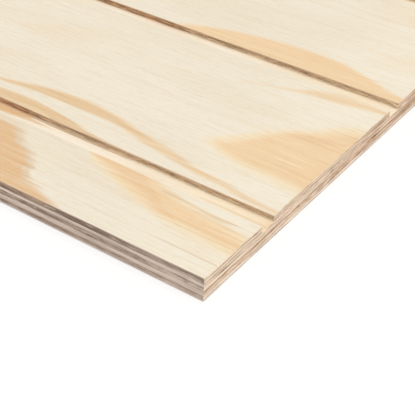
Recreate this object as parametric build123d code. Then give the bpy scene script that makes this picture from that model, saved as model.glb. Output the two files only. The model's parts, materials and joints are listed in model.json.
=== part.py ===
from build123d import *
import os

# Grooved plywood sheet, lying flat with its grooved face up.
# Millimetres, +Z up, origin in the middle of the back face, grooves and face grain along X.

# The sheet
sheet_length = 2400.0
sheet_width = 1200.0
sheet_thickness = 15.0

# The grooves, which run the whole length of the face
groove_count = 8
groove_pitch = 150.0        # from one centre line to the next
groove_width = 12.0
groove_depth = 4.2
edge_to_first_groove = 60.0  # from the front long edge to the first centre line

# The sanding that takes the sharpness off the arrises along the face
arris_ease = 0.3


def groove_centres():
    """Distance of each groove's centre line from the middle of the sheet's width."""
    first = edge_to_first_groove - sheet_width / 2
    return [first + number * groove_pitch for number in range(groove_count)]


def sheet_section():
    """The sheet's section across the grooves, standing on the back face's line."""
    with BuildSketch(Plane.YZ) as section:
        Rectangle(sheet_width, sheet_thickness, align=(Align.CENTER, Align.MIN))
        with Locations([(centre, sheet_thickness) for centre in groove_centres()]):
            Rectangle(groove_width, groove_depth, align=(Align.CENTER, Align.MAX), mode=Mode.SUBTRACT)
        face_corners = section.vertices().group_by(Axis.Y)[-1]
        chamfer(face_corners, length=arris_ease)
    return section.sketch


def grooved_sheet():
    """One solid: the section carried along the sheet's length, half to each side of the origin."""
    with BuildPart() as sheet:
        extrude(sheet_section(), amount=sheet_length / 2, both=True)
    return sheet.part


os.makedirs("parts", exist_ok=True)
export_step(grooved_sheet(), "parts/grooved_plywood_sheet.step")
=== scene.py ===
import json
import math

import bmesh
import bpy
import numpy as np
from mathutils import Matrix, Vector

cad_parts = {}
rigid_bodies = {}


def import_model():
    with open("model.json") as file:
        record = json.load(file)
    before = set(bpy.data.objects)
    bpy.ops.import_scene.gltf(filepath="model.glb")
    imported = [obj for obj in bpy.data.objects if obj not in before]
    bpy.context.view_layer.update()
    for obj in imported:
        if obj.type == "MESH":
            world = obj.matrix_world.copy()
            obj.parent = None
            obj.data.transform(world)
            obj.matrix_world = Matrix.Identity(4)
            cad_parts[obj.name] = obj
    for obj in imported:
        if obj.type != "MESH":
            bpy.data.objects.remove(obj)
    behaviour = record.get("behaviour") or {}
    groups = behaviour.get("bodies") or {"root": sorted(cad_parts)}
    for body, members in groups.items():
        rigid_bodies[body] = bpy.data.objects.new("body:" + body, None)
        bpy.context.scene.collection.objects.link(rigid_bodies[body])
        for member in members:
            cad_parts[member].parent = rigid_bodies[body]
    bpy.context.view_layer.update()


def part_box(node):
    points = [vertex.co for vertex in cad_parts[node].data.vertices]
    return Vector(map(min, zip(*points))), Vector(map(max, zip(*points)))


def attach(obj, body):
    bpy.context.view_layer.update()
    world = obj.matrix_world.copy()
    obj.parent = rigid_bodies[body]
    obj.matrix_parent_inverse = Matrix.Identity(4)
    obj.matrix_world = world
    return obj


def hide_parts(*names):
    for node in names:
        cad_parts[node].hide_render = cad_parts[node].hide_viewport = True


# Grooved plywood sheet. Metres, +X along the grooves and the face grain, +Y across them, +Z up.
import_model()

SHEET_NODE = "grooved_plywood_sheet"
sheet_low, sheet_high = (np.array(corner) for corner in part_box(SHEET_NODE))
LEFT, FRONT, BACK_FACE = sheet_low
RIGHT, REAR, FACE = sheet_high
THICKNESS = FACE - BACK_FACE
MM = 0.001

# The grooves, at the sizes of the solid
GROOVE_COUNT = 8
GROOVE_PITCH = 150 * MM
GROOVE_WIDTH = 12 * MM
GROOVE_DEPTH = 4.2 * MM
EDGE_TO_FIRST_GROOVE = 60 * MM
ARRIS_EASE = 0.3 * MM

# The seven plies, from the face down to the back
PLY_THICKNESS = np.array([1.0, 2.6, 2.05, 2.85, 3.45, 2.0, 1.05]) * MM
PLY_COUNT = len(PLY_THICKNESS)
PLY_LEVELS = np.concatenate([[0.0], np.cumsum(PLY_THICKNESS)])
GLUE_DEPTHS = PLY_LEVELS[1:-1]
GLUE_HALF_WIDTH = 0.15 * MM


# The sheet's surface

def row_table():
    """The rows of points that run round every cut edge, from the face to the back. Each has its
    depth, the glue lines that it follows up and down, and the side of its glue line that it lies
    on."""
    no_line = np.zeros(len(GLUE_DEPTHS))
    flat_depths = (0.0, ARRIS_EASE, GROOVE_DEPTH, THICKNESS - ARRIS_EASE, THICKNESS)
    rows = [(depth, no_line, 0) for depth in flat_depths]
    for line, depth in enumerate(GLUE_DEPTHS):
        own_line = np.eye(len(GLUE_DEPTHS))[line]
        rows += [(depth + side * GLUE_HALF_WIDTH, own_line, side) for side in (-1, 0, 1)]
    # One more row through the middle of each inner ply below the groove floor
    for upper in (2, 3, 4):
        both_lines = (np.eye(len(GLUE_DEPTHS))[upper] + np.eye(len(GLUE_DEPTHS))[upper + 1]) / 2
        rows.append(((GLUE_DEPTHS[upper] + GLUE_DEPTHS[upper + 1]) / 2, both_lines, 0))
    rows.sort(key=lambda row: row[0])
    depths, follows, sides = zip(*rows)
    return np.array(depths), np.array(follows), np.array(sides)


ROW_DEPTH, ROW_FOLLOWS, ROW_SIDE = row_table()
ROW_PLY = np.searchsorted(GLUE_DEPTHS, ROW_DEPTH, side="right")
ROW_COORDINATE = np.interp(ROW_DEPTH, PLY_LEVELS, np.arange(PLY_COUNT + 1))
FLOOR_ROW = int(np.flatnonzero(ROW_DEPTH == GROOVE_DEPTH)[0])

# How far each glue line wanders up and down and sags in from the long edges, and how far each ply
# lies in from the saw's cut
GLUE_WANDER = np.array([0.12, 0.25, 0.40, 0.45, 0.45, 0.25]) * MM
GLUE_SAG = np.array([0.0, 0.0, 0.10, 0.35, 0.50, 0.35]) * MM
PLY_RECESS = np.array([0.02, 0.10, 0.03, 0.12, 0.04, 0.10, 0.02]) * MM
GLUE_RECESS = 0.16 * MM


def waves(along, lengths, phase):
    """A smooth wandering between -1 and 1: the mean of sines of the given wavelengths."""
    turns = [np.sin(2 * math.pi * along / length + phase * (1.7 + number))
             for number, length in enumerate(lengths)]
    return sum(turns) / len(turns)


def glue_wander(x, y):
    """How far each glue line lies below its flat place at each point: a little with long waves
    along the grain, more with short ones across it, and with a sag that grows to its full amount
    within a few centimetres of the long edges."""
    wander = [amount * (0.35 * waves(x, (0.23, 0.41, 0.67), 1.0 + line)
                        + 0.90 * waves(y, (0.037, 0.061, 0.113), 2.3 + 1.9 * line))
              for line, amount in enumerate(GLUE_WANDER)]
    inside = 1 - np.exp(-np.minimum(y - FRONT, REAR - y) / (15 * MM))
    return np.stack(wander, -1) + inside[:, None] * GLUE_SAG


class Void:
    """A short slit on a cut edge, where the strips of a crossband don't meet."""
    height = 0.14 * MM

    def __init__(self, glue_line, middle, length, depth=2.5 * MM):
        self.glue_line = glue_line
        self.middle = middle
        self.length = length
        self.depth = depth

    def opening(self, along):
        """1 in the middle of the slit and 0 past its ends, rounded as half an ellipse is, for
        each row that follows the slit's glue line."""
        reach = (along - self.middle) / (self.length / 2)
        rounded = np.sqrt(np.clip(1 - reach ** 2, 0, None))
        return rounded[:, None] * (ROW_FOLLOWS[:, self.glue_line] == 1)


def scattered_voids(seed, start, end, spacing):
    """Slits at uneven distances along an edge, on the glue lines below the grooves."""
    chance = np.random.default_rng(seed)
    count = int((end - start) / spacing)
    middles = start + (np.arange(count) + chance.uniform(0.1, 0.9, count)) * spacing
    glue_lines = chance.choice([2, 3, 4, 5], count)
    lengths = chance.uniform(6, 20, count) * MM
    return [Void(*slit) for slit in zip(glue_lines, middles, lengths)]


# The slits of each cut edge. Those near the front right corner are given one by one, and the
# others are scattered.
VOIDS = {
    "right_end": [
        Void(2, FRONT + 18 * MM, 13 * MM),
        Void(0, FRONT + 47 * MM, 9 * MM, 1.2 * MM),
        Void(3, FRONT + 93 * MM, 8 * MM, 1.5 * MM),
        Void(2, FRONT + 131 * MM, 10 * MM),
        Void(3, FRONT + 185 * MM, 17 * MM),
    ] + scattered_voids(11, FRONT + 230 * MM, REAR, 90 * MM),
    "left_end": scattered_voids(12, FRONT, REAR, 90 * MM),
    "front_edge": scattered_voids(13, LEFT, RIGHT - 200 * MM, 160 * MM),
    "rear_edge": scattered_voids(14, LEFT, RIGHT, 160 * MM),
    "groove": [],
}


def recess(along, edge):
    """How far each row lies in from its edge at each place along it: a little more for one grain
    direction than for the other, more on a glue line, deep in a void and by the ease at the
    arris."""
    ripple = np.stack([1 + 0.6 * waves(along, (0.011, 0.019, 0.043), ply) for ply in ROW_PLY], -1)
    on_glue = (ROW_FOLLOWS.max(1) == 1) & (ROW_SIDE == 0)
    depth = PLY_RECESS[ROW_PLY] * ripple + GLUE_RECESS * on_glue
    for void in VOIDS[edge]:
        depth = depth + void.depth * void.opening(along) * (ROW_SIDE == 0)
    depth[:, 0] = ARRIS_EASE
    return depth


def drop(x, y, along, edge):
    """How far each row lies below the face at each point."""
    depth = ROW_DEPTH + glue_wander(x, y) @ ROW_FOLLOWS.T
    for void in VOIDS[edge]:
        depth = depth + void.height * void.opening(along) * ROW_SIDE
    return depth


def steps(start, end, length):
    """Even steps of about the given length from start to end, both included."""
    return np.linspace(start, end, int(math.ceil((end - start) / length)) + 1)


# The strip of torn fibres at the right end of the second groove's far wall. Its root and its tip
# are given as distances in from the end and down from the face.
SPLINTER_GROOVE = 1
SPLINTER_ROOT = np.array([11.5, 0.4]) * MM
SPLINTER_TIP = np.array([0.1, 2.1]) * MM
SPLINTER_HEIGHT = 1.4 * MM
SPLINTER_THICKNESS = 0.3 * MM
SPLINTER_LEAN = 0.7 * MM
SPLINTER_TILT = math.radians(50)
SPLINTER_RINGS = 10
SPLINTER_SIDES = 8

# The steps between columns of points on the long edges, the ends and the groove walls
EDGE_STEP = 4 * MM
END_STEP = 3 * MM
WALL_STEP = 8 * MM
edge_x = steps(LEFT, RIGHT, EDGE_STEP)
wall_x = steps(LEFT, RIGHT, WALL_STEP)

# The two long edges and each groove's two walls between them, from front to rear
groove_middles = FRONT + EDGE_TO_FIRST_GROOVE + GROOVE_PITCH * np.arange(GROOVE_COUNT)
wall_y = (groove_middles[:, None] + np.array([-0.5, 0.5]) * GROOVE_WIDTH).ravel()
breaks_y = np.concatenate([[FRONT], wall_y, [REAR]])


def end_columns():
    """The columns of points across an end: their places, the index of each break among them, and
    whether the strip to the rear of each column is open groove."""
    spans = [steps(start, end, END_STEP) for start, end in zip(breaks_y[:-1], breaks_y[1:])]
    y = np.concatenate([span[:-1] for span in spans] + [[REAR]])
    break_index = np.concatenate([[0], np.cumsum([len(span) - 1 for span in spans])])
    open_strip = np.concatenate([np.full(len(span) - 1, number % 2 == 1)
                                 for number, span in enumerate(spans)])
    return y, break_index, open_strip


END_Y, BREAK_INDEX, OPEN_STRIP = end_columns()
# The direction along Y into the wood from each break: the front edge, near and far walls in turn,
# and the rear edge
BREAK_INWARD = np.array([1] + [-1, 1] * GROOVE_COUNT + [-1])


def side_recess(along, edge):
    """The recess of a face that runs along the sheet. A groove's walls have none from the floor
    down."""
    depth = recess(along, edge)
    if edge == "groove":
        depth[:, FLOOR_ROW:] = 0
    return depth


def break_edge(number):
    """The edge that a break lies on: the front one, the rear one or a groove's wall."""
    return {0: "front_edge", len(breaks_y) - 1: "rear_edge"}.get(number, "groove")


def long_face(number, x):
    """The points of the front edge, the rear edge or one groove wall, as columns along the
    sheet."""
    edge, inward = break_edge(number), BREAK_INWARD[number]
    y = np.full_like(x, breaks_y[number])
    points = np.empty((len(x), len(ROW_DEPTH), 3))
    points[..., 0] = x[:, None]
    points[..., 1] = y[:, None] + inward * side_recess(x, edge)
    points[..., 2] = FACE - drop(x, y, x, edge)
    for column, end, inward_x in ((0, "left_end", 1), (-1, "right_end", -1)):
        points[column, :, 0] += inward_x * recess(y[:1], end)[0]
        points[column, :, 2] = FACE - drop(x[[column]], y[:1], y[:1], end)[0]
    return points


def end_face(end):
    """The points of the left or right end, as columns from front to rear."""
    x_end, inward_x = (LEFT, 1) if end == "left_end" else (RIGHT, -1)
    x = np.full_like(END_Y, x_end)
    points = np.empty((len(END_Y), len(ROW_DEPTH), 3))
    points[..., 0] = x_end + inward_x * recess(END_Y, end)
    points[..., 1] = END_Y[:, None]
    points[..., 2] = FACE - drop(x, END_Y, END_Y, end)
    for number, column in enumerate(BREAK_INDEX):
        points[column, :, 1] += BREAK_INWARD[number] * side_recess(x[:1], break_edge(number))[0]
    return points


def splinter():
    """The rings of the torn strip: an ellipse that grows evenly from a third of its size at the
    root to the whole at the tip. The root is upright and sunk in the wall. By the square of the
    way it has come, the strip leans out of the wall and turns its front upwards."""
    way = np.linspace(0, 1, SPLINTER_RINGS)[:, None]
    turn = np.linspace(0, 2 * math.pi, SPLINTER_SIDES, endpoint=False)
    size = (1 + 2 * way) / 3
    tilt = SPLINTER_TILT * way ** 2
    upright = SPLINTER_HEIGHT / 2 * size * np.cos(turn)
    through = SPLINTER_THICKNESS / 2 * size * np.sin(turn)
    inward, down = (SPLINTER_ROOT + (SPLINTER_TIP - SPLINTER_ROOT) * way).T[..., None]
    middle_y = wall_y[2 * SPLINTER_GROOVE + 1] + SPLINTER_THICKNESS / 2 - SPLINTER_LEAN * way ** 2
    x = np.broadcast_to(RIGHT - inward, upright.shape)
    y = middle_y + upright * np.sin(tilt) + through * np.cos(tilt)
    z = FACE - down + upright * np.cos(tilt) - through * np.sin(tilt)
    return np.stack([x, y, z], -1)


class Shell:
    """Collects the surfaces of one closed mesh. Points that lie on each other are joined at the
    end."""

    def __init__(self):
        self.points, self.uvs, self.hollows, self.faces, self.finishes = [], [], [], [], []
        self.count = 0

    def add(self, points, uvs, hollow, faces, finish):
        """Takes in points with what they carry, and faces as rows of numbers among those
        points."""
        self.points.append(points.reshape(-1, 3))
        self.uvs.append(uvs.reshape(-1, 2))
        self.hollows.append(hollow.ravel())
        self.faces += (faces + self.count).tolist()
        self.finishes += [finish] * len(faces)
        self.count += len(self.points[-1])

    def grid(self, points, along, edge, finish, keep=None):
        """A surface of columns and rows, with all its quads or only those that keep marks. Its UV
        is the distance along it and the depth in plies."""
        columns, rows = points.shape[:2]
        index = np.arange(columns * rows).reshape(columns, rows)
        quads = np.stack([index[:-1, :-1], index[1:, :-1], index[1:, 1:], index[:-1, 1:]], -1)
        if keep is not None:
            quads = quads[keep]
        plies = ROW_COORDINATE[None, :rows] / PLY_COUNT
        uvs = np.stack(np.broadcast_arrays(along[:, None], plies), -1)
        hollow = np.zeros((columns, len(ROW_DEPTH)))
        for void in VOIDS[edge]:
            hollow = np.maximum(hollow, void.opening(along))
        self.add(points, uvs, hollow[:, :rows], quads.reshape(-1, 4), finish)

    def flat(self, sides, finish):
        """One flat face inside an outline, given as its four sides in turn."""
        outline = np.concatenate([side[:-1] for side in sides])
        nothing = np.zeros((len(outline), 2))
        self.add(outline, nothing, nothing[:, 0], np.arange(len(outline))[None], finish)

    def strip(self, rings, finish):
        """Closed rings of points, one after another. The first ring and the last are capped."""
        count, size = rings.shape[:2]
        index = np.arange(count * size).reshape(count, size)
        after = np.roll(index, -1, 1)
        quads = np.stack([index[:-1], after[:-1], after[1:], index[1:]], -1).reshape(-1, 4)
        nothing = np.zeros((count * size, 2))
        self.add(rings, nothing, nothing[:, 0], quads, finish)
        for ring in (rings[0], rings[-1]):
            self.add(ring, nothing[:size], nothing[:size, 0], np.arange(size)[None], finish)

    def mesh(self, name):
        """The collected surfaces as one mesh, with the UV map "edge" and the voids as
        "hollow", the mask of their painted shade."""
        mesh = bpy.data.meshes.new(name)
        mesh.from_pydata(np.concatenate(self.points), [], self.faces)
        corners = np.empty(len(mesh.loops), dtype=np.int32)
        mesh.loops.foreach_get("vertex_index", corners)
        layer = mesh.uv_layers.new(name="edge")
        layer.uv.foreach_set("vector", np.concatenate(self.uvs)[corners].ravel())
        hollow = mesh.attributes.new("hollow", "FLOAT", "POINT")
        hollow.data.foreach_set("value", np.concatenate(self.hollows))
        mesh.polygons.foreach_set("material_index", self.finishes)
        shape = bmesh.new()
        shape.from_mesh(mesh)
        bmesh.ops.remove_doubles(shape, verts=shape.verts, dist=1e-7)
        bmesh.ops.recalc_face_normals(shape, faces=shape.faces)
        shape.to_mesh(mesh)
        shape.free()
        return mesh


FACE_VENEER, BACK_VENEER, LONG_EDGE, END_EDGE, GROOVE_WALL, GROOVE_FLOOR = range(6)


def sheet_shell():
    """The whole surface: the cut edges and groove walls as grids, and the flats between them."""
    shell = Shell()
    ends = {end: end_face(end) for end in ("left_end", "right_end")}
    below_floor = np.arange(len(ROW_DEPTH) - 1) >= FLOOR_ROW
    solid = ~OPEN_STRIP[:, None] | below_floor[None, :]
    for end, points in ends.items():
        shell.grid(points, END_Y, end, END_EDGE, solid)

    last = len(breaks_y) - 1
    sides = {number: long_face(number, edge_x if number in (0, last) else wall_x)
             for number in range(len(breaks_y))}
    for number, points in sides.items():
        if number in (0, last):
            shell.grid(points, edge_x, break_edge(number), LONG_EDGE)
        else:
            shell.grid(points[:, :FLOOR_ROW + 1], wall_x, "groove", GROOVE_WALL)

    def between(first, second, row, finish):
        """The flat from one break to another on one row, bounded by both long faces and both
        ends."""
        columns = slice(BREAK_INDEX[first], BREAK_INDEX[second] + 1)
        shell.flat([sides[first][:, row], ends["right_end"][columns, row],
                    sides[second][::-1, row], ends["left_end"][columns, row][::-1]], finish)

    for first in range(0, last, 2):
        between(first, first + 1, 0, FACE_VENEER)
    for first in range(1, last, 2):
        between(first, first + 1, FLOOR_ROW, GROOVE_FLOOR)
    between(0, last, -1, BACK_VENEER)
    shell.strip(splinter(), FACE_VENEER)
    return shell


# Materials

def paint(red, green, blue):
    """A colour given in the 0 to 255 steps of a screen, as the linear light that a shader
    takes."""
    screen = np.array([red, green, blue]) / 255
    light = np.where(screen <= 0.04045, screen / 12.92, ((screen + 0.055) / 1.055) ** 2.4)
    return (*light.tolist(), 1.0)


class Graph:
    """Adds nodes to one material. An input is a number, a tuple or the socket of another node.
    What comes out of the last node that a method adds is what it gives back."""

    def __init__(self, name):
        self.material = bpy.data.materials.new(name)
        self.material.use_nodes = True
        self.tree = self.material.node_tree
        self.shader = self.tree.nodes["Principled BSDF"]

    def put(self, node, socket, value):
        """Sets an input to a value, or links it to another node's socket."""
        if isinstance(value, bpy.types.NodeSocket):
            self.tree.links.new(value, node.inputs[socket])
        else:
            node.inputs[socket].default_value = value

    def node(self, kind, inputs, output=0, **settings):
        """Adds any kind of node, with its inputs by name or number, and its settings."""
        node = self.tree.nodes.new(kind)
        for name, value in settings.items():
            setattr(node, name, value)
        for socket, value in inputs.items():
            self.put(node, socket, value)
        return node.outputs[output]

    def math(self, operation, first, second=0.0, third=0.0):
        return self.node("ShaderNodeMath", {0: first, 1: second, 2: third}, operation=operation)

    def clamp(self, value):
        return self.node("ShaderNodeClamp", {0: value})

    def ease(self, value, start, end, at_start=0.0, at_end=1.0):
        """A smooth step from one level to the other as the value goes up or down from start to
        end."""
        inputs = {0: value, 1: start, 2: end, 3: at_start, 4: at_end}
        return self.node("ShaderNodeMapRange", inputs, interpolation_type="SMOOTHSTEP")

    def mix(self, share, first, second, blend="MIX"):
        return self.node("ShaderNodeMix", {0: share, 6: first, 7: second}, 2,
                         data_type="RGBA", blend_type=blend)

    def objects(self):
        """The point in the sheet's own frame, in metres."""
        return self.node("ShaderNodeTexCoord", {}, "Object")

    def split(self, vector):
        node = self.tree.nodes.new("ShaderNodeSeparateXYZ")
        self.put(node, 0, vector)
        return node.outputs

    def join(self, x=0.0, y=0.0, z=0.0):
        return self.node("ShaderNodeCombineXYZ", {0: x, 1: y, 2: z})

    def noise(self, vector, scale, detail=2.0, roughness=0.5, shift=(0, 0, 0)):
        """Noise with its own number of waves to the metre in each direction, from 0 to 1."""
        placed = self.node("ShaderNodeMapping", {0: vector, "Location": shift, "Scale": scale})
        return self.node("ShaderNodeTexNoise", {"Vector": placed, "Scale": 1.0, "Detail": detail,
                                                "Roughness": roughness})

    def swing(self, noise, amount):
        """Noise turned into a swing of up to about the given amount to either side of nothing."""
        return self.math("MULTIPLY_ADD", noise, 3.0 * amount, -1.5 * amount)

    def curve(self, value, stations):
        """A smooth curve through (value, height) stations, both from 0 to 1."""
        node = self.tree.nodes.new("ShaderNodeFloatCurve")
        self.put(node, 1, value)
        line = node.mapping.curves[0]
        # A new curve already has two points
        for number, (place, height) in enumerate(stations):
            point = line.points[number] if number < 2 else line.points.new(place, height)
            point.location = (place, height)
        node.mapping.update()
        return node.outputs[0]

    def finish(self, colour, roughness, specular, relief, depth):
        """Joins the colour and a relief of the given depth to the shader, and gives back the
        finished material."""
        self.put(self.shader, "Base Color", colour)
        self.put(self.shader, "Roughness", roughness)
        self.put(self.shader, "Specular IOR Level", specular)
        bump = self.node("ShaderNodeBump", {"Strength": 0.5, "Distance": depth, "Height": relief})
        self.put(self.shader, "Normal", bump)
        return self.material


# The tones of the pine, from its early wood to its late wood
PALE_CREAM = paint(249, 240, 220)
CREAM = paint(243, 234, 215)
DEEP_CREAM = paint(240, 229, 208)
BUTTER = paint(247, 228, 193)
PALE_HONEY = paint(242, 218, 183)
LIGHT_PEACH = paint(239, 213, 176)
LIGHT_HONEY = paint(249, 221, 182)
HONEY = paint(244, 213, 171)
WARM_HONEY = paint(239, 206, 164)
SOFT_PEACH = paint(231, 201, 160)
PEACH = paint(231, 194, 150)
DULL_PEACH = paint(229, 207, 178)
STREAK = paint(233, 209, 176)
RESIN = paint(214, 170, 120)
TAN = paint(234, 194, 149)
GRAIN = paint(222, 203, 172)

# The figure seen near the front right corner, in millimetres. Each band, patch or wisp has its
# colour, the width over which its front and its rear side fade, and its stations: the distance
# from the right end and there its front and its rear side, both as distances from the front long
# edge. Each lies over the ones before it.
FACE_FIGURE = {
    "front_patch_halo": (DULL_PEACH, 4.0, 8.0, [
        (98, -9, 0.5), (108, -9, 4), (116, -9, 7), (123, -9, 9), (127.5, -9, 12.5),
        (130.5, -9, 19), (134.5, -9, 25), (138.5, -9, 29), (145, -9, 33.4), (152, -9, 37),
        (156, -9, 41), (160, -9, 45.5), (166, -9, 48), (178, -9, 49), (200, -6, 49),
        (230, -2, 47), (265, 6, 39)]),
    "front_patch": (PEACH, 4.0, 6.5, [
        (97, -9, 0), (104, -9, 2.5), (112, -9, 5.5), (120, -9, 7.2), (127, -9, 7.8),
        (131, -9, 10), (134, -9, 14), (136.5, -9, 20), (139, -9, 24.5), (142, -9, 27.5),
        (147, -9, 30.5), (153, -9, 32.5), (158, -9, 35.5), (162, -9, 40), (167, -9, 44.5),
        (178, -9, 46.5), (200, -6, 47), (230, -2, 45), (265, 6, 37), (300, 14, 20)]),
    "front_halo": (BUTTER, 9.0, 7.0, [
        (-8, 21, 40), (20, 23, 43), (45, 25.5, 47), (62, 31, 52), (85, 38, 55), (112, 48, 56)]),
    "front_flame": (HONEY, 8.5, 6.5, [
        (-8, 26, 35), (10, 27.2, 37.8), (22, 29.2, 39.6), (36, 29.8, 41), (46, 29.2, 42.4),
        (52, 29.4, 44), (60, 33, 48.4), (72, 37, 52.4), (85, 41, 54.6), (98, 46, 56),
        (114, 52, 56)]),
    "flame_heart": (WARM_HONEY, 5.0, 4.0, [
        (46, 31, 33), (56, 34, 39.4), (66, 39, 46.4), (80, 44, 53), (96, 49, 55), (112, 53, 55)]),
    "upper_wisp": (STREAK, 2.4, 2.4, [
        (8, 47, 44.6), (14, 45, 46.2), (22, 44, 46.4), (31, 45, 46.6), (40, 46.2, 47.2),
        (48, 46.2, 48.6), (54, 46, 49.6), (62, 46.6, 49)]),
    "lower_wisp": (PALE_HONEY, 1.8, 1.8, [
        (4, 41.4, 40.2), (12, 40.4, 41.8), (24, 40.8, 42.6), (36, 41.6, 43.8), (46, 42.6, 43)]),
    "fine_line": (DULL_PEACH, 1.2, 1.2, [(-8, 12.0, 12.4), (20, 12.0, 12.5), (34, 12.3, 12.4)]),
    "band_by_groove": (SOFT_PEACH, 3.0, 2.2, [
        (60, 58, 66), (84, 58, 66.4), (104, 58, 66.8), (120, 58, 67.6), (135, 58, 69.6),
        (148, 58, 72), (160, 58, 74.2), (175, 58, 76), (195, 58, 76.2), (215, 58, 73.5),
        (250, 62, 65)]),
    "wisp_by_groove": (LIGHT_PEACH, 1.0, 1.6, [
        (158, 65, 66.2), (166, 65, 68.4), (176, 65, 69.6), (186, 65, 69), (200, 65, 67.4)]),
    "arched_band": (LIGHT_PEACH, 4.4, 3.4, [
        (-8, 67.6, 69.8), (12, 68.2, 71), (25, 69.2, 72.8), (40, 70.8, 75.2), (52, 71.2, 76.8),
        (62, 72.4, 78.2), (72, 74.2, 81), (84, 76.2, 84.4), (96, 78.4, 86.4), (108, 81.6, 88.8),
        (120, 84.8, 91.8), (135, 86.4, 94.6), (150, 86.4, 96.8), (165, 86.2, 95.8),
        (185, 85.8, 92.4), (210, 82, 86), (230, 80, 81)]),
    "arched_core": (SOFT_PEACH, 3.0, 2.4, [
        (90, 84, 83), (102, 83.4, 85.8), (112, 85, 88), (124, 86.8, 90.8), (138, 87.2, 93),
        (150, 87, 95), (165, 86.4, 94.4), (190, 85, 89.6), (215, 82, 83)]),
    "great_halo": (BUTTER, 9.0, 12.0, [
        (-8, 91, 176), (4, 91.6, 173.5), (10, 92, 171), (16, 92.2, 166), (22, 92.8, 158.5),
        (30, 93.6, 151), (40, 95, 142.5), (50, 97, 134), (60, 100, 121.5), (70, 104, 111)]),
    "great_flame": (HONEY, 9.0, 11.0, [
        (-8, 96.5, 169), (4, 97, 164.5), (14, 98, 157), (24, 99, 150), (34, 99.6, 143.5),
        (42, 100, 135), (49, 100.8, 125), (55, 102.5, 116), (60, 104, 111), (64, 106.5, 108.5)]),
    "great_shade": (WARM_HONEY, 4.0, 3.0, [
        (2, 152, 153), (8, 147, 151), (16, 144.5, 149.5), (24, 143.5, 147.5), (30, 144, 145)]),
    "great_rear_wisp": (LIGHT_HONEY, 1.4, 1.4, [
        (18, 136.4, 135.4), (24, 135.6, 136.6), (32, 131.6, 133.2), (40, 131.4, 133),
        (46, 132, 132.4)]),
    "great_middle_wisp": (LIGHT_HONEY, 1.4, 1.4, [
        (4, 121.6, 121.2), (12, 120.8, 122.2), (24, 121.4, 123.2), (36, 122, 123.4),
        (46, 122.8, 122.4)]),
    "great_front_wisp": (LIGHT_HONEY, 1.4, 1.4, [
        (8, 114.2, 113.6), (14, 113.4, 115.2), (22, 113.8, 115.8), (32, 114.6, 115.6),
        (42, 115.2, 115)]),
    "rear_band": (PALE_HONEY, 4.0, 6.0, [
        (-8, 197.5, 201), (5, 196.5, 202), (15, 195, 203), (32, 191, 203), (48, 189.4, 198),
        (60, 187.4, 190), (90, 178, 179)]),
    "rear_band_core": (LIGHT_PEACH, 2.0, 3.0, [
        (12, 198, 198.2), (20, 196.4, 198.8), (30, 194, 198), (40, 191.2, 196.6),
        (48, 190.8, 194), (56, 190.8, 191)]),
    "far_board_patch": (HONEY, 3.0, 6.0, [
        (-8, 212, 223), (8, 212, 225), (30, 212, 232), (60, 212, 240), (120, 212, 236),
        (170, 215, 219)]),
}

# The same for the floor of the first groove, where the band along the far wall's foot is painted
# shade
FLOOR_FIGURE = {
    "thin_band": (paint(243, 224, 190), 0.8, 0.8, [
        (-8, 59, 61.2), (20, 59.2, 61.2), (46, 60.2, 60.8)]),
    # A darker band on the floor along the far wall's foot: painted shade in the corner
    "painted_foot_shade": (paint(224, 196, 164), 0.8, 1.0, [
        (92, 65.6, 65), (108, 65.0, 67), (150, 64.7, 67), (185, 64.9, 67), (230, 65.4, 67)]),
    "end_tint": (paint(250, 219, 182), 1.0, 1.0, [(-8, 50, 70), (2, 50, 70)]),
    "tan_tail": (paint(240, 214, 182), 1.4, 1.2, [
        (150, 63.0, 61.8), (160, 61.8, 63.0), (174, 60.8, 64.4), (190, 59, 65)]),
    "tan_patch": (TAN, 1.6, 1.4, [
        (166, 65.6, 64.8), (172, 64.2, 66.0), (178, 62.2, 67), (186, 60.8, 67.5),
        (205, 58.5, 67.5), (240, 56, 67), (300, 58, 62)]),
}

# In millimetres, the stretches along and across the grain that the curves through the stations
# cover, the margin with which they start short of the sheet's corner, the length over which a
# band's tip fades, and the distances from the corner between which the figure goes over into the
# general one
CURVE_SPAN = 320.0
CURVE_HEIGHT = 250.0
CURVE_MARGIN = 10.0
TIP_FADE = 12.0
FIGURE_FADE = (240.0, 340.0)


def corner_band(graph, along, across, feather, front_fade, rear_fade, stations):
    """How much of one patch covers a point: 1 inside, fading to 0 over its sides and its tip."""
    place = graph.math("MULTIPLY_ADD", along, 1 / CURVE_SPAN, CURVE_MARGIN / CURVE_SPAN)
    sides = []
    for side in (1, 2):
        points = [((station[0] + CURVE_MARGIN) / CURVE_SPAN,
                   (station[side] + CURVE_MARGIN) / CURVE_HEIGHT) for station in stations]
        height = graph.curve(place, points)
        sides.append(graph.math("MULTIPLY_ADD", height, CURVE_HEIGHT, -CURVE_MARGIN))
    front, rear = sides
    inside_front = graph.math("DIVIDE", graph.math("SUBTRACT", across, front), front_fade)
    inside_rear = graph.math("DIVIDE", graph.math("SUBTRACT", rear, across), rear_fade)
    inside_tip = graph.math("DIVIDE", graph.math("SUBTRACT", stations[-1][0], along), TIP_FADE)
    nearest = graph.math("MINIMUM", graph.math("MINIMUM", inside_front, inside_rear), inside_tip)
    return graph.ease(graph.math("ADD", nearest, feather), -0.5, 0.5)


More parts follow.
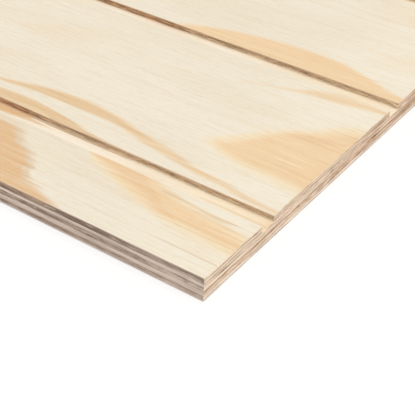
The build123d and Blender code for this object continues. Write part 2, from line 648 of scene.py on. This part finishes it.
def ring_figure(graph, point, feather):
    """The share of late wood away from the front right corner, where the knife cuts the growth
    rings at a low angle: the level lines of a long, narrow swell, each fading in on one side and
    ending on the other."""
    along = graph.swing(graph.noise(point, (1.6, 5, 0), 1.0), 0.10)
    across = graph.swing(graph.noise(point, (2.3, 9, 0), 1.0, shift=(8, 3, 0)), 0.012)
    bent = graph.node("ShaderNodeVectorMath", {0: point, 1: graph.join(along, across)})
    swell = graph.noise(bent, (0.8, 5.2, 0), 2.2, 0.40, shift=(5.3, 2.1, 0))
    level = graph.math("MULTIPLY_ADD", swell, 9.0, graph.math("MULTIPLY", feather, 0.10))
    ring = graph.math("FRACT", level)
    ending = graph.ease(ring, 0.93, 1.0, 1.0, 0.0)
    late = graph.math("MULTIPLY", graph.ease(ring, 0.50, 0.86), ending)
    strength = graph.noise(point, (2.5, 18, 0), 1.0, shift=(2, 6, 0))
    return graph.math("MULTIPLY", late, graph.ease(strength, 0.30, 0.62, 0.25, 1.0))


def corner_place(graph, place, streak, sway):
    """The distances in millimetres from the right end and from the front long edge, swayed by the
    grain so that the figure's borders are uneven."""
    x, y, _ = graph.split(place)
    from_end = graph.math("SUBTRACT", RIGHT, x)
    from_front = graph.math("SUBTRACT", y, FRONT)
    return (graph.math("MULTIPLY_ADD", from_end, 1 / MM, graph.swing(streak, 3.5)),
            graph.math("MULTIPLY_ADD", from_front, 1 / MM, graph.swing(sway, 0.4)))


def grain_lines(graph, point, streak, lateness, early, colour):
    """The colour with its fine lines along the grain, strongest on late wood, and the relief of
    the fibres."""
    pale_line = graph.math("MULTIPLY", graph.ease(streak, 0.36, 0.50, 1.0, 0.0), lateness)
    colour = graph.mix(graph.math("MULTIPLY", pale_line, 0.18), colour, early)
    strength = graph.math("MULTIPLY_ADD", lateness, 0.13, 0.05)
    dark_line = graph.math("MULTIPLY", graph.ease(streak, 0.50, 0.66), strength)
    colour = graph.mix(dark_line, colour, RESIN)
    fibre = graph.noise(point, (26, 620, 0), 4.0, 0.7, shift=(1, 7, 0))
    colour = graph.mix(graph.ease(fibre, 0.48, 0.62, 0.0, 0.16), colour, GRAIN, "MULTIPLY")
    speck = graph.noise(point, (160, 700, 0), 2.0, 0.7, shift=(5, 5, 0))
    colour = graph.mix(graph.ease(speck, 0.45, 0.65, 0.0, 0.10), colour, GRAIN, "MULTIPLY")
    return colour, fibre


def pine(graph, early, deep, near_end, late, deep_late, figure, shift=(0.0, 0.0, 0.0)):
    """The colour of a pine veneer at each point, and the fine relief of its grain. The early wood
    goes over into its deep tone in soft patches, and into near_end's tone close to the right end.
    Near the front right corner the veneer has the given figure and further off a general one,
    whose place in the wood shift sets."""
    place = graph.objects()
    point = graph.node("ShaderNodeVectorMath", {0: place, 1: shift})
    streak = graph.noise(point, (6, 300, 0), 3.0, 0.6, shift=(3, 1, 0))
    sway = graph.noise(point, (11, 60, 0), 2.0)
    feather = graph.math("ADD", graph.swing(streak, 0.30), graph.swing(sway, 0.22))
    along, across = corner_place(graph, place, streak, sway)
    distance = graph.node("ShaderNodeVectorMath", {0: graph.join(along, across)}, 1,
                          operation="LENGTH")
    away = graph.ease(distance, *FIGURE_FADE) if figure else 1.0

    patch = graph.noise(point, (5, 22, 0), 2.0, shift=(9, 4, 0))
    ground = graph.mix(graph.ease(patch, 0.35, 0.65), early, deep)
    ground = graph.mix(graph.ease(along, 95.0, 20.0, 0.0, 0.55), ground, near_end)
    faint = graph.noise(point, (9, 180, 0), 2.0, shift=(6, 2, 0))
    colour = graph.mix(graph.ease(faint, 0.56, 0.74, 0.0, 0.18), ground, late)
    ring_tone = graph.mix(graph.ease(patch, 0.40, 0.60), deep_late, late)
    ring = graph.math("MULTIPLY", ring_figure(graph, point, feather), away)
    colour = graph.mix(ring, colour, ring_tone)
    lateness = graph.math("MULTIPLY", away, 0.5)
    for tone, front_fade, rear_fade, stations in figure.values():
        share = corner_band(graph, along, across, feather, front_fade, rear_fade, stations)
        colour = graph.mix(share, colour, tone)
        lateness = graph.math("MAXIMUM", lateness, share)
    return grain_lines(graph, point, streak, lateness, early, colour)


def face_veneer():
    """The sanded face, smooth and slightly glossy."""
    graph = Graph("sanded pine face")
    colour, fibre = pine(graph, CREAM, DEEP_CREAM, PALE_CREAM, HONEY, PEACH, FACE_FIGURE)
    return graph.finish(colour, 0.62, 0.3, fibre, 0.05 * MM)


def groove_floor():
    """The third ply where the cutter has laid it open, paler and rougher than the face."""
    graph = Graph("routed groove floor")
    colour, fibre = pine(graph, paint(255, 246, 228), paint(250, 238, 216), paint(255, 238, 206),
                         paint(240, 207, 165), TAN, FLOOR_FIGURE, (3.1, 1.7, 0.0))
    return graph.finish(colour, 0.75, 0.2, fibre, 0.12 * MM)


def back_veneer():
    """The back, without the corner's figure, and dulled all over."""
    graph = Graph("unsanded pine back")
    colour, fibre = pine(graph, CREAM, DEEP_CREAM, CREAM, HONEY, PEACH, {}, (1.3, 5.2, 0.0))
    dulled = graph.mix(0.25, colour, paint(216, 192, 160))
    return graph.finish(dulled, 0.75, 0.25, fibre, 0.15 * MM)


# 1 for each ply that shows end grain on the long edges and groove walls, and on the two ends
CROSSBANDS = [ply % 2 for ply in range(PLY_COUNT)]
LENGTHWISE = [1 - crossband for crossband in CROSSBANDS]


def painted(tones):
    """The tones with each colour, alone or one of a pair, made the light that a shader takes."""
    return [paint(*tone) if len(tone) == 3 else tuple(paint(*colour) for colour in tone)
            for tone in tones]


def edge_place(graph, waviness):
    """The distance along a cut edge in metres, and the depth in the wavering plies from 0 at the
    face to 1 at the back, both by the mesh's UV map."""
    along, depth, _ = graph.split(graph.node("ShaderNodeUVMap", {}, uv_map="edge"))
    place = graph.join(along, graph.math("MULTIPLY", depth, THICKNESS))
    uneven = graph.swing(graph.noise(place, (60, 240, 0), 2.0, shift=(3, 3, 0)), waviness)
    return along, graph.math("ADD", depth, uneven)


def ply_tones(graph, layer, tones):
    """The tone of each ply by depth, with short blends between them. A ply has one tone, or a
    pair that it goes through from its upper side to its lower one."""
    node = graph.tree.nodes.new("ShaderNodeValToRGB")
    graph.put(node, 0, layer)
    ramp = node.color_ramp
    blend = 0.012
    stops = []
    for number, tone in enumerate(tones):
        upper, lower = tone if len(tone) == 2 else (tone, tone)
        start, end = number / PLY_COUNT, (number + 1) / PLY_COUNT
        stops += [(start + blend, upper), (end - blend, lower)]
    # A new ramp already has two stops
    for number, (place, tone) in enumerate(stops):
        stop = ramp.elements[number] if number < 2 else ramp.elements.new(place)
        stop.position = place
        stop.color = tone
    return node.outputs[0]


def ply_shares(graph, layer, shares):
    """A share from 0 to 1 for each ply by depth, with the same short blends between them."""
    return ply_tones(graph, layer, [(share, share, share, 1.0) for share in shares])


def glue_shadow(graph, layer):
    """How near a point is to a glue line: 1 on it, 0 a fifth of a ply away."""
    plies = graph.math("MULTIPLY", layer, float(PLY_COUNT))
    away = graph.math("ABSOLUTE", graph.math("SUBTRACT", plies, graph.math("ROUND", plies)))
    inside = graph.math("MULTIPLY", graph.math("GREATER_THAN", plies, 0.5),
                        graph.math("LESS_THAN", plies, PLY_COUNT - 0.5))
    return graph.math("MULTIPLY", graph.ease(away, 0.04, 0.18, 1.0, 0.0), inside)


def cut_edge(graph, along, layer, ground, end_grain, pale, dark, late, glue, flecks, streaks,
             shift):
    """A cut edge over the given ground: the plies with end grain flecked with rings and pores,
    the others streaked along the edge, and glue lines and voids between them, the voids darkened
    with painted shade. Shift sets the place in the wood."""
    place = graph.join(graph.math("ADD", along, shift), graph.math("MULTIPLY", layer, THICKNESS))
    is_end = ply_shares(graph, layer, end_grain)
    fibres = graph.noise(place, (26, 1000, 0), 4.0, 0.7)
    rings = graph.noise(place, (34, 950, 0), 4.0, 0.7, shift=(2, 5, 0))
    pores = graph.noise(place, (130, 1100, 0), 3.0, 0.7, shift=(4, 8, 0))
    grain = graph.mix(is_end, fibres, graph.mix(0.5, rings, pores))

    blotch = graph.noise(place, (30, 120, 0), 2.0, shift=(7, 1, 0))
    colour = graph.mix(graph.ease(blotch, 0.35, 0.70, 0.0, 0.14), ground, pale)
    colour = graph.mix(graph.ease(grain, 0.38, 0.50, 0.50, 0.0), colour, pale)
    lens = graph.noise(place, (16, 300, 0), 3.0, 0.6, shift=(8, 2, 0))
    lens = graph.math("MULTIPLY", graph.ease(lens, 0.54, 0.64, 0.0, 0.40), is_end)
    colour = graph.mix(lens, colour, late)
    strength = graph.math("MULTIPLY_ADD", is_end, flecks - streaks, streaks)
    fleck = graph.math("MULTIPLY", graph.ease(grain, 0.45, 0.60), strength)
    colour = graph.mix(fleck, colour, dark)

    broken = graph.noise(place, (45, 90, 0), 3.0, shift=(1, 9, 0))
    broken = graph.ease(broken, 0.38, 0.60, 0.35 * glue, glue)
    colour = graph.mix(graph.math("MULTIPLY", glue_shadow(graph, layer), broken), colour, dark)
    # Inside each void the colour goes to a dark brown: painted shade in the slit
    hollow = graph.node("ShaderNodeAttribute", {}, "Fac", attribute_name="hollow")
    colour = graph.mix(graph.ease(hollow, 0.70, 1.0, 0.0, 0.80), colour, paint(104, 74, 52))
    return graph.finish(colour, 0.8, 0.2, grain, 0.12 * MM)


# The depth at which the eased arris ends, as a share of the plies
ARRIS_LAYER = ARRIS_EASE / PLY_THICKNESS[0] / PLY_COUNT


def painted_arris_highlight(graph, layer, ground, pale):
    """The ground with the eased arris under the face made paler: a painted highlight along the
    arris.
    """
    share = graph.ease(layer, 0.6 * ARRIS_LAYER, 1.3 * ARRIS_LAYER, 0.65, 0.0)
    return graph.mix(share, ground, pale)


def long_edge():
    """Grey-brown crossbands between paler plies, all a little lighter towards the front right
    corner. The late wood of the face's front patch warms the edge of the face ply."""
    graph = Graph("sawn long edge")
    along, layer = edge_place(graph, 0.010)
    pale = paint(238, 217, 200)
    tones = [(168, 146, 128), (162, 140, 122), ((246, 227, 210), (255, 240, 224)),
             (192, 168, 150), ((255, 236, 218), (224, 200, 181)), (204, 181, 164),
             ((250, 236, 224), (238, 222, 208))]
    ground = ply_tones(graph, layer, painted(tones))
    patch = graph.math("MULTIPLY", graph.ease(along, RIGHT - 96 * MM, RIGHT - 108 * MM),
                       graph.ease(layer, 0.06, 0.34, 0.55, 0.0))
    ground = graph.mix(patch, ground, paint(226, 182, 138))
    corner = graph.math("MULTIPLY", graph.ease(along, RIGHT - 75 * MM, RIGHT - 15 * MM),
                        graph.math("MULTIPLY_ADD", layer, 0.72, 0.18))
    ground = graph.mix(corner, ground, pale)
    # A painted highlight along the eased arris under the face
    ground = painted_arris_highlight(graph, layer, ground, pale)
    return cut_edge(graph, along, layer, ground, CROSSBANDS, pale, dark=paint(90, 67, 52),
                    late=paint(132, 106, 88), glue=0.34, flecks=0.62, streaks=0.38, shift=10.54)


def in_groove(graph, along):
    """1 at the places along an end that lie within a groove, and 0 at the others."""
    pitches = graph.math("MULTIPLY_ADD", along, 1 / GROOVE_PITCH,
                         -groove_middles[0] / GROOVE_PITCH)
    past_middle = graph.math("SUBTRACT", pitches, graph.math("ROUND", pitches))
    half_groove = GROOVE_WIDTH / 2 / GROOVE_PITCH
    return graph.ease(graph.math("ABSOLUTE", past_middle), 0.9 * half_groove,
                      1.15 * half_groove, 1.0, 0.0)


def sawn_end():
    """Long grain in the crossbands and end grain in the others. They are paler towards the front
    right corner and just under each groove, and browner from the second board on. Down that
    corner's own edge runs a painted highlight, and along the bottom edge a painted contact
    shadow."""
    graph = Graph("sawn end")
    along, layer = edge_place(graph, 0.018)
    pale = paint(248, 231, 210)
    tones = [(233, 210, 180), ((226, 201, 175), (230, 205, 179)),
             ((231, 205, 179), (240, 214, 188)), ((238, 212, 185), (232, 206, 179)),
             ((219, 187, 157), (208, 178, 150)), ((250, 230, 209), (255, 240, 222)),
             ((238, 220, 204), (222, 204, 187))]
    ground = ply_tones(graph, layer, painted(tones))
    ground = graph.mix(graph.ease(along, FRONT + 200 * MM, FRONT, 0.0, 0.40), ground, pale)
    far = graph.math("MULTIPLY", graph.ease(along, FRONT + 125 * MM, FRONT + 165 * MM),
                     ply_shares(graph, layer, (0.26, 0.38, 0.04, 0.26, 0.16, 0.09, 0.05)))
    ground = graph.mix(far, ground, paint(168, 126, 94))
    # The lowest strip of the end goes grey-brown: a painted contact shadow along the bottom edge
    ground = graph.mix(graph.ease(layer, 0.955, 0.985, 0.0, 0.90), ground, paint(150, 132, 118))
    under_groove = graph.math("MULTIPLY", graph.ease(layer, 0.36, 0.43, 0.70, 0.0),
                              in_groove(graph, along))
    ground = graph.mix(under_groove, ground, paint(250, 224, 192))
    # Down the front right corner's own edge the end is made paler: a painted highlight on the
    # vertical corner
    corner = graph.ease(along, FRONT + 1.4 * MM, FRONT + 0.6 * MM, 0.0, 0.45)
    ground = graph.mix(corner, ground, pale)
    return cut_edge(graph, along, layer, ground, LENGTHWISE, pale, dark=paint(128, 95, 70),
                    late=paint(184, 143, 107), glue=0.50, flecks=0.58, streaks=0.54, shift=10.54)


def groove_wall():
    """The first plies again, browned by the cutter. The third ply's patch of tan shows at the
    foot. Nearer the right end the wall just above the foot is made pale: painted light bounced
    from the groove floor."""
    graph = Graph("routed groove wall")
    along, layer = edge_place(graph, 0.008)
    pale = paint(242, 216, 186)
    brown = ((225, 193, 160), (219, 187, 155))
    tones = [(224, 196, 166), brown, (255, 243, 216)] + [brown] * (PLY_COUNT - 3)
    ground = ply_tones(graph, layer, painted(tones))
    patch = graph.ease(along, RIGHT - 155 * MM, RIGHT - 180 * MM, 0.0, 0.55)
    ground = graph.mix(patch, ground, paint(196, 146, 100))
    near_end = graph.ease(along, RIGHT - 80 * MM, RIGHT - 45 * MM, 0.0, 0.50)
    ground = graph.mix(near_end, ground, pale)
    # Painted light bounced up from the groove floor, making the lower second ply pale near the
    # right end
    foot = graph.math("MULTIPLY", graph.ease(layer, 0.243, 0.278),
                      graph.ease(along, RIGHT - 178 * MM, RIGHT - 155 * MM))
    ground = graph.mix(foot, ground, paint(255, 242, 216))
    # A painted highlight along the eased arris under the face
    ground = painted_arris_highlight(graph, layer, ground, pale)
    return cut_edge(graph, along, layer, ground, CROSSBANDS, pale, dark=paint(98, 66, 44),
                    late=paint(150, 108, 76), glue=0.22, flecks=0.70, streaks=0.28, shift=9.41)


finishes = {
    FACE_VENEER: face_veneer(),
    BACK_VENEER: back_veneer(),
    LONG_EDGE: long_edge(),
    END_EDGE: sawn_end(),
    GROOVE_WALL: groove_wall(),
    GROOVE_FLOOR: groove_floor(),
}

sheet = bpy.data.objects.new("plywood_sheet", sheet_shell().mesh("plywood_sheet"))
bpy.context.collection.objects.link(sheet)
for number in sorted(finishes):
    sheet.data.materials.append(finishes[number])
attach(sheet, "root")
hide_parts(SHEET_NODE)


# The studio: a white floor, even light all round and two soft lamps, from the right and from
# above

def studio_floor():
    """A wide pale floor under the sheet. To the camera it is lifted to white where nothing shades
    it."""
    half = 40.0
    corners = [(-half, -half, 0), (half, -half, 0), (half, half, 0), (-half, half, 0)]
    mesh = bpy.data.meshes.new("studio_floor")
    mesh.from_pydata(corners, [], [(0, 1, 2, 3)])
    floor = bpy.data.objects.new("studio_floor", mesh)
    floor.location.z = BACK_FACE - 0.2 * MM
    bpy.context.collection.objects.link(floor)
    graph = Graph("studio floor")
    graph.put(graph.shader, "Base Color", (0.85, 0.85, 0.85, 1))
    graph.put(graph.shader, "Roughness", 1.0)
    graph.put(graph.shader, "Specular IOR Level", 0.0)
    rays = graph.tree.nodes.new("ShaderNodeLightPath")
    by_eye = graph.math("ADD", rays.outputs["Is Camera Ray"], rays.outputs["Is Glossy Ray"])
    seen = graph.clamp(by_eye)
    shade = graph.node("ShaderNodeBsdfDiffuse", {"Color": (0.28, 0.28, 0.28, 1)})
    lift = graph.node("ShaderNodeEmission", {"Color": (1, 1, 1, 1), "Strength": 0.74})
    white = graph.node("ShaderNodeAddShader", {0: shade, 1: lift})
    both = graph.node("ShaderNodeMixShader", {0: seen, 1: graph.shader.outputs[0], 2: white})
    graph.put(graph.tree.nodes["Material Output"], "Surface", both)
    mesh.materials.append(graph.material)


def studio_world():
    """Even light from all round, which the camera and reflections see as white."""
    world = bpy.data.worlds.new("studio")
    bpy.context.scene.world = world
    world.use_nodes = True
    tree = world.node_tree
    background = tree.nodes["Background"]
    rays = tree.nodes.new("ShaderNodeLightPath")
    seen = tree.nodes.new("ShaderNodeMath")
    seen.operation = "ADD"
    tree.links.new(rays.outputs["Is Camera Ray"], seen.inputs[0])
    tree.links.new(rays.outputs["Is Glossy Ray"], seen.inputs[1])
    strength = tree.nodes.new("ShaderNodeMapRange")
    strength.inputs["To Min"].default_value = 0.55
    strength.inputs["To Max"].default_value = 1.0
    tree.links.new(seen.outputs[0], strength.inputs["Value"])
    tree.links.new(strength.outputs[0], background.inputs["Strength"])
    background.inputs["Color"].default_value = (1, 1, 1, 1)


def soft_lamp(name, strength, source, spread):
    """A distant broad lamp. Its strength is what it adds to a white surface that faces it."""
    lamp = bpy.data.lights.new(name, "SUN")
    lamp.energy = strength * math.pi
    lamp.angle = math.radians(spread)
    lamp.color = (1.0, 0.98, 0.95)
    lamp_object = bpy.data.objects.new(name, lamp)
    lamp_object.rotation_euler = Vector(source).to_track_quat("Z", "Y").to_euler()
    bpy.context.collection.objects.link(lamp_object)


# The camera, fitted to the photograph's edges and grooves: its place from the face's front right
# corner, the way it looks and its focal length in pixels of the 415 pixel frame
CAMERA_FROM_CORNER = Vector((218.5, -340.8, 341.5)) * MM
LOOK = Vector((-0.4356, 0.6779, -0.5922)).normalized()
ROLL = math.radians(3.12)
FOCAL_PIXELS = 1068.4
FRAME_PIXELS = 415


def photo_camera():
    """The camera, turned by ROLL about the way it looks."""
    lens = bpy.data.cameras.new("photo_camera")
    lens.sensor_width = 36.0
    lens.lens = lens.sensor_width * FOCAL_PIXELS / FRAME_PIXELS
    lens.clip_start, lens.clip_end = 0.01, 200.0
    camera = bpy.data.objects.new("photo_camera", lens)
    level_right = LOOK.cross(Vector((0, 0, 1))).normalized()
    level_up = level_right.cross(LOOK)
    right = level_right * math.cos(ROLL) + level_up * math.sin(ROLL)
    up = level_up * math.cos(ROLL) - level_right * math.sin(ROLL)
    turn = Matrix((right, up, -LOOK)).transposed()
    place = Vector((RIGHT, FRONT, FACE)) + CAMERA_FROM_CORNER
    camera.matrix_world = Matrix.LocRotScale(place, turn.to_quaternion(), None)
    bpy.context.collection.objects.link(camera)
    bpy.context.scene.camera = camera


studio_floor()
studio_world()
soft_lamp("key", 0.40, (1.0, 0.0, 0.9), 30)
soft_lamp("overhead", 0.18, (0.0, 0.0, 1.0), 50)
photo_camera()
bpy.context.scene.view_settings.view_transform = "Standard"
